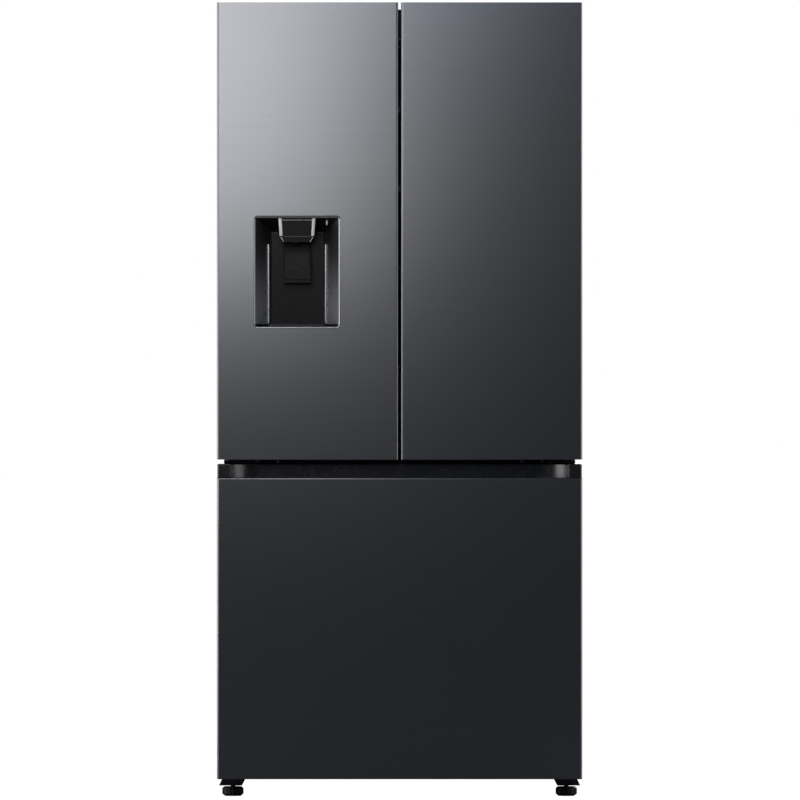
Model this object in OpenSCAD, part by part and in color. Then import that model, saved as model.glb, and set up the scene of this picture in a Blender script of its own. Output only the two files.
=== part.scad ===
// French door refrigerator: two upper doors over one freezer drawer.
// +Z is up, the doors face -Y, and the origin is on the floor under the middle of the overall box.

/* [Overall] */
// Width across the closed doors
overall_w = 817; // [805:1:830]
// Height from the floor to the top of the upper doors
overall_h = 1779; // [1760:1:1800]
// Depth from the door faces to the back panel
overall_d = 715; // [705:1:740]
// Width of the cabinet behind the doors
case_w = 788; // [780:1:790]

/* [Doors] */
// Thickness of a foamed door
door_t = 92; // [90:1:94]
// Gap between the two upper doors
centre_gap = 6; // [5:0.5:8]
// Gap between the doors and the cabinet, which the gaskets fill
seal_gap = 13; // [12.5:0.5:14]
// Height of the upper doors' bottom edge
door_z = 757; // [755:1:760]
// Height of the top edge of the freezer drawer's front sheet
drawer_top = 716.5; // [710:0.5:720]
// Height of the bottom edge of the freezer drawer's front sheet
drawer_z = 42.5; // [40:0.5:44]

/* [Dispenser] */
// Width of the dispenser opening
niche_w = 187; // [180:1:190]
// Height of the dispenser opening
niche_h = 244; // [230:1:250]
// Distance of the opening's middle from the cabinet's middle plane
niche_x = 229.5; // [225:0.5:232]
// Height of the opening's middle
niche_z = 1177; // [1170:1:1182]

/* [Fit] */
// Radial clearance of every running pin
run = 0.05; // [0.02:0.01:0.08]

/* [Hidden] */
$fn = 48;
eps = 0.5;              // how far a cutting solid runs past the face it cuts

// Planes, from the front to the back
half_w = overall_w / 2;
half_case = case_w / 2;
front_y = -overall_d / 2;
door_back_y = front_y + door_t;
case_y = door_back_y + seal_gap;
back_y = overall_d / 2;

// Cabinet
lip_h = 22;             // height of the doors' front lip above the cabinet
case_top = overall_h - lip_h;
case_z = 46;
sheet_t = 1.5;
liner_t = 3;
cav_x = half_case - 50; // half width of both compartments
cav_back_y = back_y - 52.5;
fridge_z = 782;
fridge_top = case_top - 57;
freezer_z = 100;
freezer_top = 722;
step_y = 130;           // the freezer floor rises over the machine space behind this plane
step_z = 330;
machine_y = 150;
machine_top = 300;
inner_x = half_case - sheet_t;
back_sheet_y = back_y - sheet_t;

// Doors
skin_t = 1;
skin_r = 5;             // bend radius of a door's vertical front edges
return_y = front_y + 84;
lip_y = front_y + 22;
cap_h = 30;             // top cap's depth into the door
grip_h = 40;            // bottom cap's height, which holds the finger grip
dyke_x = 62;            // the raised rim on a door's inner face
dyke_out = cav_x - 10;
dyke_t = 14;
dyke_y = door_back_y + 32;
dyke_z = 800;
dyke_top = fridge_top - 12;
pan_y = door_back_y - 8;   // the liner sinks this far inside the rim
pivot_x = half_w - 28.5;
pivot_y = door_back_y - 39.5;
pin_r = 6;
gasket_w = 13;
gasket_x = 10;
gasket_out = pivot_x;
gasket_clear = 0.5;
upper_gasket_z = door_z + 9;
upper_gasket_top = case_top - 9;
handle_z = 680;
handle_top = 747;
drawer_gasket_z = 70;
drawer_gasket_top = 739;

// Storage
shelf_z = [958, 1180, 1360, 1540];   // tops of the ledges, the first for the crisper cover
shelf_front_y = -114;
shelf_back_y = 280;
bin_w = 242;
bin_h = 100;
bin_y = -160;
bin_x = (dyke_x + dyke_out) / 2;
left_bin_z = [830, 1072, 1570];
right_bin_z = [830, 1072, 1310, 1550];
crisper_y = -118;
crisper_x0 = 46;        // the crispers clear the closed centre rail and the doors' open rims
crisper_x1 = 300;
basket_z = 130;
runner_z = 200;

// Dispenser
niche_y = front_y + 70;
niche_back_w = 129;
niche_back_top = niche_z + 89.5;
frame_w = 4;
frame_t = 4;
lever_y = front_y + 62;
lever_z = niche_z + 68;
lever_lean = 9;         // the resting paddle leans forward by this angle
tank_z = 1312;
tank_top = 1478;
tank_y = -165;
lid_y = -260;

// Swinging centre rail
rail_x = -46;
rail_y = case_y + 9.5;
rail_z = fridge_z + 3;
rail_top = fridge_top - 14;
ear_z = [900, 1240, 1580];
ear_t = 10;
ear_clear = 18;

// Feet and rollers
foot_x = 375;
foot_y = -225;
foot_r = 24;
stud_r = 5;
roller_y = 300;
roller_r = 20;
axle_r = 4;

// Fans
fan_x = -12;
fan_y = 250;
fan_z = 170;
fan_r = 62;
cold_fan_z = 640;
cold_fan_r = 50;
cold_fan_y = 276;
shaft_r = 2;

// ---------- shared shapes ----------

// Box between two opposite corners
module block(lo, hi) {
  translate(lo) cube(hi - lo);
}

// The children, and their mirror image across the middle plane
module both_sides() {
  children();
  mirror([1, 0, 0]) children();
}

// Rectangle with round corners, from one corner to the other
module round_rect(lo, hi, r) {
  size = hi - lo;
  translate([lo.x + r, lo.y]) square([size.x - 2 * r, size.y]);
  translate([lo.x, lo.y + r]) square([size.x, size.y - 2 * r]);
  for (x = [lo.x + r, hi.x - r], y = [lo.y + r, hi.y - r]) translate([x, y]) circle(r);
}

// Upright box with round vertical corners
module round_block(lo, hi, r) {
  translate([0, 0, lo.z]) linear_extrude(hi.z - lo.z) round_rect([lo.x, lo.y], [hi.x, hi.y], r);
}

// Open-topped tray with round vertical corners
module open_tray(lo, hi, r, wall, floor_t) {
  difference() {
    round_block(lo, hi, r);
    round_block(lo + [wall, wall, floor_t], hi + [-wall, -wall, eps], r - wall);
  }
}

// Cylinder from a point along a direction: "x", "y" or "z"
module rod(from, length, r, along = "z") {
  turn = along == "x" ? [0, 90, 0] : along == "y" ? [-90, 0, 0] : [0, 0, 0];
  translate(from) rotate(turn) cylinder(h = length, r = r);
}

// Points of an arc about a centre
function arc(centre, r, from, to, steps = 8) =
  [for (i = [0:steps]) let (a = from + (to - from) * i / steps) centre + r * [cos(a), sin(a)]];

// Plan of a door: square at the back, with round front corners
module door_plan(x0, x1, y0, y1, r) {
  translate([x0, y0 + r]) square([x1 - x0, y1 - y0 - r]);
  translate([x0 + r, y0]) square([x1 - x0 - 2 * r, r + eps]);
  for (x = [x0 + r, x1 - r]) translate([x, y0 + r]) circle(r);
}

module door_slab(x0, x1, z0, z1, inset = 0, y1 = door_back_y) {
  translate([0, 0, z0]) linear_extrude(z1 - z0)
    door_plan(x0 + inset, x1 - inset, front_y + inset, y1, skin_r - inset);
}

// Bent sheet over a door's front and sides
module door_sheet(x0, x1, z0, z1) {
  difference() {
    door_slab(x0, x1, z0, z1, 0, return_y);
    door_slab(x0, x1, z0 - eps, z1 + eps, skin_t, return_y + eps);
  }
}

// Row of upright slots, cut through a panel along Y
module slots(x0, x1, z0, z1, y, pitch, width) {
  for (x = [x0:pitch:x1]) block([x - width / 2, y - 10, z0], [x + width / 2, y + 10, z1]);
}

// Fan rotor along +Z, with its shaft hole through the hub
module rotor(r, hub_r, depth, blades) {
  difference() {
    union() {
      cylinder(h = depth, r = hub_r);
      intersection() {
        cylinder(h = depth, r = r);
        for (i = [0:blades - 1]) rotate(i * 360 / blades)
          translate([hub_r - 2, 0, depth / 2]) rotate([35, 0, 0])
            translate([0, -depth, -1]) cube([r, 2 * depth, 2]);
      }
    }
    translate([0, 0, -eps]) cylinder(h = depth - 2, r = shaft_r + run);
  }
}

// Pan-head screw seated at z = 0, with its shank below
module screw(shank, head_r = 4.5) {
  cylinder(h = 3, r = head_r);
  translate([0, 0, -shank]) cylinder(h = shank, r = 2.5);
}

// ---------- cabinet ----------

// Wrapped sheet with front flanges, and the rail between the two compartments
module outer_case() {
  color("#4a4b4e") difference() {
    block([-half_case, case_y, case_z], [half_case, back_sheet_y, case_top]);
    block([-inner_x, case_y + sheet_t, case_z - eps], [inner_x, back_sheet_y + eps, case_top - sheet_t]);
    block([-cav_x - liner_t, case_y - eps, case_z - eps],
          [cav_x + liner_t, case_y + sheet_t + eps, fridge_top + liner_t]);
  }
  color("#3b3c3f")
    block([-cav_x - liner_t, case_y, freezer_top + liner_t], [cav_x + liner_t, case_y + 12, fridge_z - liner_t]);
}

module back_panel() {
  color("#8d9093") difference() {
    union() {
      block([-inner_x, back_sheet_y, machine_top + 2], [inner_x, back_y, case_top - sheet_t]);
      for (x = [-300:100:300]) block([x - 12, back_sheet_y - 0.5, 360], [x + 12, back_y, case_top - 60]);
    }
    for (x = [-300:100:300]) block([x - 9, back_y - 1, 363], [x + 9, back_y + eps, case_top - 63]);
    for (p = panel_screws) rod([p.x, back_sheet_y - 3, p.y], 6, 2.5 + run, "y");
  }
}

module base_pan() {
  color("#9a9c9e") {
    block([-inner_x, case_y + sheet_t, case_z], [inner_x, back_sheet_y, case_z + 2]);
    block([-inner_x, machine_y - 2, case_z + 2], [inner_x, machine_y, machine_top + 2]);
    block([-inner_x, machine_y, machine_top], [inner_x, back_sheet_y, machine_top + 2]);
    block([-cav_x - liner_t, case_y, case_z], [cav_x + liner_t, case_y + sheet_t, freezer_z - liner_t]);
  }
}

// Outside of the two liners, which the foam leaves free
module liner_volume(grow, front) {
  block([-cav_x - grow, front, fridge_z - grow], [cav_x + grow, cav_back_y + grow, fridge_top + grow]);
  block([-cav_x - grow, front, step_z - grow], [cav_x + grow, cav_back_y + grow, freezer_top + grow]);
  block([-cav_x - grow, front, freezer_z - grow], [cav_x + grow, step_y + grow, step_z + grow]);
}

module insulation() {
  color("#e8dfa8") difference() {
    block([-inner_x, case_y + sheet_t, case_z + 2], [inner_x, back_sheet_y - 0.5, case_top - sheet_t]);
    liner_volume(liner_t, case_y);
    block([-cav_x - liner_t, case_y, freezer_top], [cav_x + liner_t, case_y + 12.5, fridge_z]);
    block([-inner_x - eps, machine_y - 2, case_z], [inner_x + eps, back_y, machine_top + 2]);
  }
}

module fridge_liner() {
  color("white") {
    difference() {
      block([-cav_x - liner_t, case_y, fridge_z - liner_t],
            [cav_x + liner_t, cav_back_y + liner_t, fridge_top + liner_t]);
      block([-cav_x, case_y - eps, fridge_z], [cav_x, cav_back_y, fridge_top]);
    }
    both_sides() for (z = shelf_z)
      block([cav_x - 12, shelf_front_y + 4, z - 8], [cav_x + 1, shelf_back_y, z]);
  }
}

module freezer_liner() {
  color("white") {
    difference() {
      union() {
        block([-cav_x - liner_t, case_y, step_z - liner_t],
              [cav_x + liner_t, cav_back_y + liner_t, freezer_top + liner_t]);
        block([-cav_x - liner_t, case_y, freezer_z - liner_t], [cav_x + liner_t, step_y + liner_t, step_z]);
      }
      block([-cav_x, case_y - eps, step_z], [cav_x, cav_back_y, freezer_top]);
      block([-cav_x, case_y - eps, freezer_z], [cav_x, step_y, step_z + eps]);
    }
    both_sides() block([cav_x - 20, -240, 438], [cav_x + 1, 250, 446]);
  }
}

// Cover strip over the cabinet's front edge, with a raised box and a nose over each hinge
module top_cover() {
  end_top = case_top + 18;
  color("#2c2d2f") {
    block([-300, case_y, case_top], [300, case_y + 82, case_top + 10.5]);
    both_sides() difference() {
      union() {
        block([300 - 2, case_y, case_top], [half_case, case_y + 100, end_top]);
        block([pivot_x - 14, pivot_y, case_top + 6.5], [pivot_x + 11, case_y + 1, end_top]);
        rod([pivot_x, pivot_y, case_top + 6.5], end_top - case_top - 6.5, 14);
      }
      block([303, case_y - eps, case_top - eps], [half_case - 3, case_y + 97, case_top + 6.5]);
      block([303, case_y + 3, case_top], [half_case - 3, case_y + 97, end_top - 3]);
    }
  }
}

top_hinge_screws = [[322, case_y + 40], [372, case_y + 40], [347, case_y + 70]];
module top_hinges() {
  both_sides() difference() {
    union() {
      block([308, case_y, case_top], [388, case_y + 85, case_top + 6]);
      block([pivot_x - 10, pivot_y, case_top + 2], [pivot_x + 10, case_y + eps, case_top + 6]);
      rod([pivot_x, pivot_y, case_top + 2], 4, 10.5);
      rod([pivot_x, pivot_y, case_top - 22], 25, pin_r);
    }
    for (p = top_hinge_screws) rod([p.x, p.y, case_top - eps], 8, 2.5 + run);
  }
}

mid_hinge_screws = [[320, 752], [276, 752]];
module mid_hinges() {
  both_sides() difference() {
    union() {
      block([330, pivot_y - 13, door_z - 7.5], [half_case - 0.5, case_y, door_z - 2.5]);
      block([262, case_y - 3, 742], [half_case - 0.5, case_y, 764]);
      rod([pivot_x, pivot_y, door_z - 3], 24, pin_r);
      rod([pivot_x, pivot_y, door_z - 3], 2.5, 10);
    }
    for (p = mid_hinge_screws) rod([p.x, case_y - 4, p.y], 6, 2.5 + run, "y");
  }
}

module door_hinges() {
  color("#2b2c2e") {
    top_hinges();
    mid_hinges();
  }
}

// Sheet bracket of a front foot: a top plate, a splayed front and rear web, and the stud's boss
module foot_bracket() {
  web = [[-31, 24], [21, 24], [31, 43.5], [31, case_z], [-23, case_z], [-23, 41]];
  translate([foot_x, foot_y, 0]) difference() {
    union() {
      block([-31, -26, case_z - 3], [23, 26, case_z]);
      for (y = [-24, 21]) translate([0, y + 3, 0]) rotate([90, 0, 0])
        linear_extrude(3) mirror([1, 0]) polygon(web);
      rod([0, 0, 24], case_z - 25, 14.5);
    }
    rod([0, 0, 20], case_z, stud_r + run);
  }
}

// Fork of a rear roller, with its axle
module roller_fork() {
  for (x = [foot_x - 13, foot_x + 10]) block([x, roller_y - 12, 14], [x + 3, roller_y + 12, case_z]);
  block([foot_x - 13, roller_y - 12, case_z - 3], [foot_x + 13, roller_y + 12, case_z]);
  rod([foot_x - 12, roller_y, roller_r], 24, axle_r, "x");
}

module leg_brackets() {
  color("#1d1e20") both_sides() {
    foot_bracket();
    roller_fork();
  }
}

cover_screws = [for (x = [-370, 0, 370], z = [66, 282]) [x, z]];
panel_screws = [for (x = [-370, 370], z = [420, 1050, 1680]) [x, z]];
module screws() {
  color("#c9cacc") {
    both_sides() {
      for (p = top_hinge_screws) translate([p.x, p.y, case_top + 6]) screw(6);
      for (p = mid_hinge_screws) translate([p.x, case_y - 3, p.y]) rotate([90, 0, 0]) screw(3);
    }
    for (p = cover_screws) translate([p.x, machine_cover_y + 2, p.y]) rotate([-90, 0, 0]) screw(2);
    for (p = panel_screws) rod([p.x, back_sheet_y - 0.5, p.y], 2, 2.5, "y");
  }
}

// ---------- machine space ----------

machine_cover_y = back_y - 8;

module compressor() {
  shell = concat([[0, 0], [62, 0]], arc([62, 22], 18, -90, 0), arc([50, 108], 30, 0, 70), [[0, 150]]);
  color("#17181a") translate([-205, fan_y, 0]) {
    translate([0, 0, 72]) rotate_extrude($fn = 64) polygon(shell);
    block([-95, -58, 64], [95, 58, 68]);
    rod([0, 0, 66], 10, 40);
    for (x = [-80, 80], y = [-44, 44]) {
      rod([x, y, case_z + 2], 16, 11);
      rod([x, y, 67], 9, 5);
    }
    translate([0, 70, 110]) block([-22, 0, 0], [22, 18, 46]);
    rod([18, -50, 180], 70, 4);
    rod([-18, -50, 180], 60, 3);
  }
}

// Finned tube pack, with hairpin bends at both ends
module finned_coil(length, rows, columns, pitch, tube_r, fins) {
  for (c = [0:columns - 1], k = [0:rows - 1])
    translate([-length / 2, c * pitch, k * pitch]) rotate([0, 90, 0]) cylinder(h = length, r = tube_r);
  for (i = [0:fins - 1])
    translate([-length / 2 + 8 + i * (length - 17) / (fins - 1), -pitch / 2, -pitch / 2])
      cube([1, columns * pitch, rows * pitch]);
}

module condenser() {
  color("#6d6f72") translate([185, 190, case_z + 17.5]) finned_coil(270, 6, 5, 26, 3, 26);
}

module fan_shroud() {
  color("#dedfe0") difference() {
    union() {
      difference() {
        block([fan_x, 170, case_z + 2], [fan_x + 3, 340, 290]);
        rod([fan_x - eps, fan_y, fan_z], 5, fan_r + 3, "x");
      }
      difference() {
        rod([fan_x - 24, fan_y, fan_z], 26, fan_r + 6, "x");
        rod([fan_x - 25, fan_y, fan_z], 30, fan_r + 3, "x");
      }
      for (a = [0:120:240]) translate([fan_x + 4, fan_y, fan_z]) rotate([a, 0, 0])
        block([-2, -3, 0], [2, 3, fan_r + 5]);
      rod([fan_x + 2, fan_y, fan_z], 22, 20, "x");
      rod([fan_x - 18, fan_y, fan_z], 22, shaft_r, "x");
    }
  }
}

module condenser_fan() {
  color("#2a2b2d") translate([fan_x - 1.5, fan_y, fan_z]) rotate([0, -90, 0]) rotor(fan_r, 18, 20, 5);
}

module drain_pan() {
  color("#26272a") open_tray([30, 168, case_z + 2], [344, 342, case_z + 32], 12, 2.5, 2.5);
}

module machine_cover() {
  color("#55575a") difference() {
    block([-388, machine_cover_y, case_z + 2], [388, machine_cover_y + 2, machine_top]);
    for (x0 = [-350, 50]) slots(x0, x0 + 300, 110, 245, machine_cover_y, 20, 8);
    for (p = cover_screws) rod([p.x, machine_cover_y - 1, p.y], 5, 2.5 + run, "y");
    block([-10, machine_cover_y - 1, 90], [26, machine_cover_y + 4, 114]);
  }
}

module power_inlet() {
  color("#1b1c1e") difference() {
    union() {
      block([-9.9, machine_cover_y - 8, 90.1], [25.9, machine_cover_y + 2, 113.9]);
      block([-14, machine_cover_y + 2, 86], [30, machine_cover_y + 7, 118]);
    }
    rod([8, machine_cover_y - 4, 102], 14, 9, "y");
    for (x = [3, 8, 13]) rod([x, machine_cover_y - 9, 102], 8, 1.5, "y");
  }
}

// ---------- fresh food compartment ----------

module fridge_duct() {
  color("#d9dbdd") difference() {
    union() {
      round_block([-110, cav_back_y - 15, 985], [110, cav_back_y, 1690], 6);
      block([-100, cav_back_y - 8, 985], [100, cav_back_y, 1690]);
    }
    for (z = [1060:100:1660], x = [-60, 60])
      block([x - 28, cav_back_y - 16, z], [x + 28, cav_back_y - 11, z + 8]);
    block([-90, cav_back_y - 11.2, 1000], [90, cav_back_y + eps, 1680]);
  }
}

module ceiling_light() {
  color("#f6f6f0") round_block([-95, -70, fridge_top - 8], [95, 20, fridge_top], 12);
}

// Control console on the ceiling, whose front end is the cam block that steers the centre rail's roller:
// an entry channel and a quarter ring
module ceiling_console() {
  color("#d5d7d9") {
    round_block([-110, -170, fridge_top - 11], [110, -100, fridge_top], 10);
    block([rail_x - 34, rail_y + 58, fridge_top - 11], [rail_x + 62, -165, fridge_top]);
    difference() {
      block([rail_x - 34, case_y + 3, fridge_top - 11], [rail_x + 62, rail_y + 60, fridge_top]);
      difference() {
        rod([rail_x, rail_y, rail_top], 12, 47);
        rod([rail_x, rail_y, rail_top - eps], 14, 33);
        block([rail_x - 60, rail_y - 60, rail_top - 1], [rail_x - 7, rail_y + 60, rail_top + 14]);
        block([rail_x - 60, rail_y - 60, rail_top - 1], [rail_x + 60, rail_y - 7, rail_top + 14]);
      }
      block([rail_x - 9, case_y, rail_top], [rail_x + 20, rail_y + 47, rail_top + 12]);
    }
  }
}

module shelf_frame(z) {
  difference() {
    block([-cav_x + 2, shelf_front_y, z], [cav_x - 2, shelf_back_y, z + 12]);
    block([-cav_x + 22, shelf_front_y + 18, z - eps], [cav_x - 22, shelf_back_y - 12, z + 13]);
    block([-cav_x + 15.8, shelf_front_y + 11.8, z + 6], [cav_x - 15.8, shelf_back_y - 5.8, z + 13]);
  }
}

module shelf_frames() {
  color("#cfd1d4") {
    for (z = shelf_z) shelf_frame(z);
  }
}

// Upright panels that stand between and beside the crispers, under their cover
module crisper_housing() {
  top = shelf_z[0];
  color("#cfd1d4") both_sides() {
    for (x = [crisper_x0 - 8, crisper_x1 + 4])
      block([x, shelf_front_y, fridge_z], [x + 4, shelf_back_y - 2, top]);
    for (x = [[0, crisper_x0 - 5], [crisper_x1 + 5, cav_x - 12.5]])
      block([x[0], shelf_front_y, fridge_z], [x[1], shelf_front_y + 4, top]);
  }
}

module shelf_glass() {
  color("#bcd7da", 0.4) for (z = shelf_z)
    block([-cav_x + 16, shelf_front_y + 12, z + 6], [cav_x - 16, shelf_back_y - 6, z + 10]);
}

// Crisper drawer with a lipped front and a finger pull
module crisper() {
  x0 = crisper_x0;
  x1 = crisper_x1;
  color("#e3edf0", 0.6) difference() {
    union() {
      open_tray([x0, crisper_y, fridge_z + 0.6], [x1, 268, 946], 10, 2.5, 2.5);
      block([x0, crisper_y - 5, 800], [x1, crisper_y + 2, 948]);
      block([x0 + 40, crisper_y - 18, 926], [x1 - 40, crisper_y - 3, 930]);
    }
    block([x0 + 12, crisper_y + 2, 930], [x1 - 12, crisper_y + 12, 960]);
  }
}

module crisper_left() { mirror([1, 0, 0]) crisper(); }
module crisper_right() { crisper(); }

// ---------- freezer compartment ----------

module freezer_duct() {
  face_y = 262;
  color("#e6e7e8") {
    difference() {
      union() {
        block([-cav_x + 0.5, face_y, step_z + 1], [cav_x - 0.5, face_y + 4, freezer_top - 1]);
        rod([0, face_y, cold_fan_z], 38, cold_fan_r + 8, "y");
      }
      rod([0, face_y - 1, cold_fan_z], 44, cold_fan_r + 4, "y");
      for (z = [420, 440, 460, 480]) both_sides() block([60, face_y - 1, z], [260, face_y + 5, z + 8]);
    }
    for (a = [0:120:240]) translate([0, face_y + 34, cold_fan_z]) rotate([0, a, 0])
      block([-3, 0, 0], [3, 3, cold_fan_r + 6]);
    rod([0, face_y + 33, cold_fan_z], 8, 18, "y");
    rod([0, cold_fan_y + 4, cold_fan_z], 18, shaft_r, "y");
    for (z = [cold_fan_z - 30:15:cold_fan_z + 30])
      block([-cold_fan_r - 12, face_y + 1, z - 1.5], [cold_fan_r + 12, face_y + 3, z + 1.5]);
  }
}

module evaporator() {
  color("#b8babc") translate([0, 276, 370]) finned_coil(480, 9, 2, 18, 4, 24);
}

module evaporator_fan() {
  color("#f0f0f0") translate([0, cold_fan_y + 17, cold_fan_z]) rotate([90, 0, 0]) rotor(cold_fan_r, 16, 17, 5);
}

// One member of a telescopic runner: a channel that opens towards the drawer, or a plain bar
module channel(x0, x1, z0, z1, wall, y0, y1) {
  difference() {
    block([x0, y0, z0], [x1, y1, z1]);
    block([x0 - eps, y0 - eps, z0 + wall], [x1 - wall, y1 + eps, z1 - wall]);
  }
}

module fixed_runners() {
  color("#c4c6c9") both_sides()
    channel(cav_x - 10, cav_x, runner_z, runner_z + 45, 3, -245, 125);
}

module middle_runners() {
  color("#b4b6b9") both_sides()
    channel(cav_x - 14, cav_x - 3.5, runner_z + 3.4, runner_z + 41.6, 3, -243, 124);
}

module drawer_runners() {
  color("#c4c6c9") both_sides() {
    block([cav_x - 22, door_back_y, runner_z + 6.8], [cav_x - 7, 123, runner_z + 38.2]);
    block([cav_x - 32, -225, runner_z + 12], [cav_x - 22, 105, runner_z + 15]);
  }
}

// Deep wire-slotted basket that hangs between the drawer runners
module freezer_basket() {
  color("#f4f5f6") difference() {
    union() {
      open_tray([-312, -246, basket_z], [312, 122, 400], 16, 3, 3);
      difference() {
        round_block([-314, -248, 390], [314, 124, 400], 18);
        round_block([-309, -243, 380], [309, 119, 410], 13);
      }
    }
    for (x = [-270:36:270]) block([x - 12, -260, 190], [x + 12, 140, 350]);
    both_sides() for (y = [-200:40:80]) block([300, y - 12, 250], [330, y + 12, 350]);
  }
}

module upper_tray() {
  color("#f4f5f6") {
    open_tray([-316, -236, 440], [316, 240, 600], 14, 3, 3);
    both_sides() block([315, -220, 446.5], [cav_x - 6, 230, 450]);
    block([-120, -246, 588], [120, -234, 592]);
  }
}

// ---------- upper doors, drawn for the right and mirrored for the left ----------

module upper_skin() {
  difference() {
    door_sheet(centre_gap / 2, half_w, door_z, overall_h);
    block([0, lip_y, case_top], [half_w + 1, return_y + 1, overall_h + 1]);
  }
}

// Top cap with the front lip and hinge hole, and bottom cap with the finger grip
module upper_caps() {
  difference() {
    union() {
      door_slab(centre_gap / 2, half_w, case_top - cap_h, case_top, skin_t);
      intersection() {
        door_slab(centre_gap / 2, half_w, case_top - 1, overall_h - 0.5, skin_t);
        block([0, front_y, case_top - 1], [half_w, lip_y, overall_h]);
      }
      door_slab(centre_gap / 2, half_w, door_z, door_z + grip_h, skin_t);
    }
    rod([pivot_x, pivot_y, case_top - 24], 30, pin_r + run);
    rod([pivot_x, pivot_y, door_z - 1], 23, pin_r + run);
    round_block([30, front_y + 12, door_z - 1], [300, front_y + 44, door_z + 28], 8);
  }
}

// Foamed core of an upper door, from the front sheet to the bottom of the sunken pan
module upper_core() {
  door_slab(centre_gap / 2, half_w, door_z + grip_h, case_top - cap_h, skin_t, pan_y);
}

// Liner around the sunken pan, with its raised rim
module upper_rim() {
  difference() {
    union() {
      block([centre_gap / 2 + skin_t, pan_y, door_z + grip_h], [half_w - skin_t, door_back_y, case_top - cap_h]);
      round_block([dyke_x, door_back_y - 1, dyke_z], [dyke_out, dyke_y, dyke_top], 4);
    }
    block([dyke_x + dyke_t, pan_y - 1, dyke_z + dyke_t], [dyke_out - dyke_t, dyke_y + 1, dyke_top - dyke_t]);
  }
}

// Folded seal: foot, bellows and magnet head, as three stacked frames
module gasket(x0, x1, z0, z1) {
  depth = seal_gap - gasket_clear;
  layers = [[0, 0, 3], [2.5, 3, depth - 4], [0, depth - 4, depth]];
  color("#b7b9bb") for (l = layers) difference() {
    block([x0 + l[0], door_back_y + l[1], z0 + l[0]], [x1 - l[0], door_back_y + l[2], z1 - l[0]]);
    block([x0 + gasket_w - l[0], door_back_y - 1, z0 + gasket_w - l[0]],
          [x1 - gasket_w + l[0], case_y, z1 - gasket_w + l[0]]);
  }
}

// Door bin: a round-cornered tray whose front wall stands lower than its sides
module door_bin(z) {
  x0 = bin_x - bin_w / 2;
  x1 = bin_x + bin_w / 2;
  color("#e8f0f2", 0.6) difference() {
    open_tray([x0, pan_y + 1, z], [x1, bin_y, z + bin_h], 14, 3, 3);
    block([x0 + 40, bin_y - 20, z + bin_h - 22], [x1 - 40, bin_y + 5, z + bin_h + 1]);
  }
}

module right_door_skin() { color("#3a3c40") upper_skin(); }
module right_door_caps() { color("#2a2b2e") upper_caps(); }
module right_inner_door() {
  color("white") {
    upper_core();
    upper_rim();
  }
}
module right_door_gasket() { gasket(gasket_x, gasket_out, upper_gasket_z, upper_gasket_top); }
module right_door_bins() { for (z = right_bin_z) door_bin(z); }

// Outline of the dispenser opening, grown all round, cut along Y from y0 to y1
module niche_cut(grow, y0, y1, r = 6) {
  translate([-niche_x, y1, niche_z]) rotate([90, 0, 0]) linear_extrude(y1 - y0)
    round_rect([-niche_w / 2 - grow, -niche_h / 2 - grow], [niche_w / 2 + grow, niche_h / 2 + grow], r);
}

module left_door_skin() {
  color("#3a3c40") difference() {
    mirror([1, 0, 0]) upper_skin();
    niche_cut(frame_w, front_y - 1, front_y + 3, 10);
  }
}

module left_door_caps() { color("#2a2b2e") mirror([1, 0, 0]) upper_caps(); }

module left_inner_door() {
  color("white") difference() {
    mirror([1, 0, 0]) upper_core();
    niche_cut(frame_w, front_y, front_y + frame_t, 10);
    block([-niche_x - niche_w / 2 - 3.2, front_y, niche_z - niche_h / 2 - 3.2],
          [-niche_x + niche_w / 2 + 3.2, niche_y + 3.2, niche_z + niche_h / 2 + 3.2]);
    rod([-niche_x, front_y + 46, niche_z + niche_h / 2], 34, 14);
    rod([-niche_x, front_y + 46, tank_z + 14], 60, 12, "y");
  }
}

// The left door's liner is a moulding of its own: its rim carries the centre rail's ears
module left_door_liner() {
  color("white") difference() {
    union() {
      mirror([1, 0, 0]) upper_rim();
      for (z = ear_z) {
        block([-dyke_x - 1, rail_y - 6.5, z], [rail_x, rail_y + 6.5, z + ear_t]);
        rod([rail_x, rail_y, z], ear_t, 6.5);
      }
    }
    for (z = ear_z) rod([rail_x, rail_y, z - 1], ear_t + 2, 3 + run);
  }
}

module left_door_gasket() { mirror([1, 0, 0]) gasket(gasket_x, gasket_out, upper_gasket_z, upper_gasket_top); }
module left_door_bins() { mirror([1, 0, 0]) for (z = left_bin_z) door_bin(z); }

// ---------- dispenser ----------

module dispenser_frame() {
  color("#a9abae") difference() {
    niche_cut(frame_w - 0.1, front_y, front_y + frame_t, 9.9);
    niche_cut(0, front_y - 1, front_y + frame_t + 1, 6);
  }
}

// Space inside the niche: splayed sides with round back corners, and a ceiling that falls to the back
module niche_space(inset = 0) {
  w = niche_w / 2 - inset;
  back = niche_back_w / 2 - inset;
  r = 8;
  y0 = front_y - 1;
  plan = concat([[-w, y0], [w, y0], [w, front_y + 6]], arc([back - r, niche_y - inset - r], r, 25, 90),
                arc([r - back, niche_y - inset - r], r, 90, 155), [[-w, front_y + 6]]);
  low = -niche_h / 2 + inset;
  ceiling = niche_back_top - niche_z - inset;
  side = [[y0, low], [niche_y + 1, low], [niche_y + 1, ceiling], [front_y + 8, niche_h / 2 - inset],
          [y0, niche_h / 2 - inset]];
  intersection() {
    translate([-niche_x, 0, niche_z - niche_h]) linear_extrude(2 * niche_h) polygon(plan);
    translate([-niche_x - niche_w, 0, niche_z]) rotate([90, 0, 90]) linear_extrude(2 * niche_w) polygon(side);
  }
}

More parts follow.
